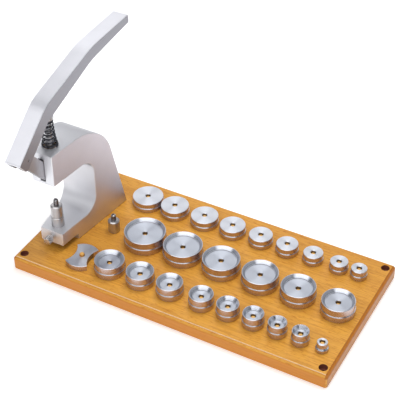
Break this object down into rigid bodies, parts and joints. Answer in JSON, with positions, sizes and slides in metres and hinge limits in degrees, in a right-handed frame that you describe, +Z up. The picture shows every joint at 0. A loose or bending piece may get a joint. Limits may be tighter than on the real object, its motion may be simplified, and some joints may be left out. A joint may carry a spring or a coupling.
{
  "type": "watch case press",
  "caption": "Bench lever press on a wooden board, with a set of turned dies on pegs, for pressing crystals and backs into watch cases.",
  "frame": {"origin": "centre of the board's underside", "axes": "+Z up; +X along the board, from the press end to the end with the small dies; +Y from the open front of the throat to the back"},
  "size_m": [0.4, 0.2263, 0.2458],
  "materials": {
    "varnished_beech": "varnished honey beech",
    "peg_wood": "varnished",
    "frame_aluminium": "satin milled",
    "lever_aluminium": "fine satin",
    "arm_aluminium": "satin",
    "die_aluminium": "bright turned",
    "ram_steel": "ground",
    "holder_steel": "bright nickel plated",
    "screw_steel": "plain",
    "spring_steel": "dark tempered",
    "thumb_screw_metal": "bright nickel plated",
    "bush_bronze": "reamed bronze"
  },
  "bodies": {
    "root": {"wooden_board": "varnished_beech", "die_pegs": "peg_wood", "press_frame": "frame_aluminium", "foot_bolts": "screw_steel", "foot_washers": "screw_steel", "pivot_arm": "arm_aluminium", "arm_dowels": "screw_steel", "guide_bush": "bush_bronze", "return_spring": "spring_steel"},
    "lever": {"lever": "lever_aluminium", "pivot_pin": "screw_steel"},
    "ram": {"ram": "ram_steel", "ram_cap": "ram_steel", "ram_set_screw": "screw_steel"},
    "anvil_post": {"anvil_post": "holder_steel"},
    "anvil_holder": {"anvil_holder": "holder_steel"},
    "spare_holder": {"spare_holder": "holder_steel"},
    "thumb_screw": {"thumb_screw": "thumb_screw_metal"},
    "flat_die_1": {"flat_die_1": "die_aluminium"},
    "flat_die_2": {"flat_die_2": "die_aluminium"},
    "flat_die_3": {"flat_die_3": "die_aluminium"},
    "flat_die_4": {"flat_die_4": "die_aluminium"},
    "flat_die_5": {"flat_die_5": "die_aluminium"},
    "flat_die_6": {"flat_die_6": "die_aluminium"},
    "flat_die_7": {"flat_die_7": "die_aluminium"},
    "flat_die_8": {"flat_die_8": "die_aluminium"},
    "flat_die_9": {"flat_die_9": "die_aluminium"},
    "large_die_1": {"large_die_1": "die_aluminium"},
    "large_die_2": {"large_die_2": "die_aluminium"},
    "large_die_3": {"large_die_3": "die_aluminium"},
    "large_die_4": {"large_die_4": "die_aluminium"},
    "large_die_5": {"large_die_5": "die_aluminium"},
    "large_die_6": {"large_die_6": "die_aluminium"},
    "deep_die_1": {"deep_die_1": "die_aluminium"},
    "deep_die_2": {"deep_die_2": "die_aluminium"},
    "deep_die_3": {"deep_die_3": "die_aluminium"},
    "deep_die_4": {"deep_die_4": "die_aluminium"},
    "deep_die_5": {"deep_die_5": "die_aluminium"},
    "deep_die_6": {"deep_die_6": "die_aluminium"},
    "deep_die_7": {"deep_die_7": "die_aluminium"},
    "deep_die_8": {"deep_die_8": "die_aluminium"},
    "saddle_die": {"saddle_die": "die_aluminium"},
    "stepped_die": {"stepped_die": "die_aluminium"}
  },
  "joints": [
    {"name": "lever_pivot", "type": "hinge", "parent": "root", "child": "lever", "pos_m": [-0.167, -0.101, 0.1738], "axis": [-1, 0, 0], "range_deg": [0, 19]},
    {"name": "ram_slide", "type": "slide", "parent": "root", "child": "ram", "axis": [0, 0, -1], "range_m": [0, 0.018], "stiffness_N_per_m": 4200, "springref_m": -0.004, "deforming": ["return_spring"]},
    {"name": "post_height", "type": "slide", "parent": "root", "child": "anvil_post", "axis": [0, 0, -1], "range_m": [0, 0.009]},
    {"name": "thumb_screw_turn", "type": "hinge", "parent": "root", "child": "thumb_screw", "pos_m": [-0.167, -0.067, 0.035], "axis": [0, -1, 0], "range_deg": [0, 360]},
    {"name": "anvil_holder_lift", "type": "slide", "parent": "anvil_post", "child": "anvil_holder", "axis": [0, 0, 1], "range_m": [0, 0.0095]},
    {"name": "spare_holder_lift", "type": "slide", "parent": "root", "child": "spare_holder", "axis": [0, 0, 1], "range_m": [0, 0.02]},
    {"name": "flat_die_1_lift", "type": "slide", "parent": "root", "child": "flat_die_1", "axis": [0, 0, 1], "range_m": [0, 0.02]},
    {"name": "flat_die_2_lift", "type": "slide", "parent": "root", "child": "flat_die_2", "axis": [0, 0, 1], "range_m": [0, 0.02]},
    {"name": "flat_die_3_lift", "type": "slide", "parent": "root", "child": "flat_die_3", "axis": [0, 0, 1], "range_m": [0, 0.02]},
    {"name": "flat_die_4_lift", "type": "slide", "parent": "root", "child": "flat_die_4", "axis": [0, 0, 1], "range_m": [0, 0.02]},
    {"name": "flat_die_5_lift", "type": "slide", "parent": "root", "child": "flat_die_5", "axis": [0, 0, 1], "range_m": [0, 0.02]},
    {"name": "flat_die_6_lift", "type": "slide", "parent": "root", "child": "flat_die_6", "axis": [0, 0, 1], "range_m": [0, 0.02]},
    {"name": "flat_die_7_lift", "type": "slide", "parent": "root", "child": "flat_die_7", "axis": [0, 0, 1], "range_m": [0, 0.02]},
    {"name": "flat_die_8_lift", "type": "slide", "parent": "root", "child": "flat_die_8", "axis": [0, 0, 1], "range_m": [0, 0.02]},
    {"name": "flat_die_9_lift", "type": "slide", "parent": "root", "child": "flat_die_9", "axis": [0, 0, 1], "range_m": [0, 0.02]},
    {"name": "large_die_1_lift", "type": "slide", "parent": "root", "child": "large_die_1", "axis": [0, 0, 1], "range_m": [0, 0.02]},
    {"name": "large_die_2_lift", "type": "slide", "parent": "root", "child": "large_die_2", "axis": [0, 0, 1], "range_m": [0, 0.02]},
    {"name": "large_die_3_lift", "type": "slide", "parent": "root", "child": "large_die_3", "axis": [0, 0, 1], "range_m": [0, 0.02]},
    {"name": "large_die_4_lift", "type": "slide", "parent": "root", "child": "large_die_4", "axis": [0, 0, 1], "range_m": [0, 0.02]},
    {"name": "large_die_5_lift", "type": "slide", "parent": "root", "child": "large_die_5", "axis": [0, 0, 1], "range_m": [0, 0.02]},
    {"name": "large_die_6_lift", "type": "slide", "parent": "root", "child": "large_die_6", "axis": [0, 0, 1], "range_m": [0, 0.02]},
    {"name": "deep_die_1_lift", "type": "slide", "parent": "root", "child": "deep_die_1", "axis": [0, 0, 1], "range_m": [0, 0.02]},
    {"name": "deep_die_2_lift", "type": "slide", "parent": "root", "child": "deep_die_2", "axis": [0, 0, 1], "range_m": [0, 0.02]},
    {"name": "deep_die_3_lift", "type": "slide", "parent": "root", "child": "deep_die_3", "axis": [0, 0, 1], "range_m": [0, 0.02]},
    {"name": "deep_die_4_lift", "type": "slide", "parent": "root", "child": "deep_die_4", "axis": [0, 0, 1], "range_m": [0, 0.02]},
    {"name": "deep_die_5_lift", "type": "slide", "parent": "root", "child": "deep_die_5", "axis": [0, 0, 1], "range_m": [0, 0.02]},
    {"name": "deep_die_6_lift", "type": "slide", "parent": "root", "child": "deep_die_6", "axis": [0, 0, 1], "range_m": [0, 0.02]},
    {"name": "deep_die_7_lift", "type": "slide", "parent": "root", "child": "deep_die_7", "axis": [0, 0, 1], "range_m": [0, 0.02]},
    {"name": "deep_die_8_lift", "type": "slide", "parent": "root", "child": "deep_die_8", "axis": [0, 0, 1], "range_m": [0, 0.02]},
    {"name": "saddle_die_lift", "type": "slide", "parent": "root", "child": "saddle_die", "axis": [0, 0, 1], "range_m": [0, 0.02]},
    {"name": "stepped_die_lift", "type": "slide", "parent": "root", "child": "stepped_die", "axis": [0, 0, 1], "range_m": [0, 0.02]}
  ],
  "couplings": [
    {"joint": "ram_slide", "follows": "lever_pivot", "m_per_rad": 0.0542}
  ]
}
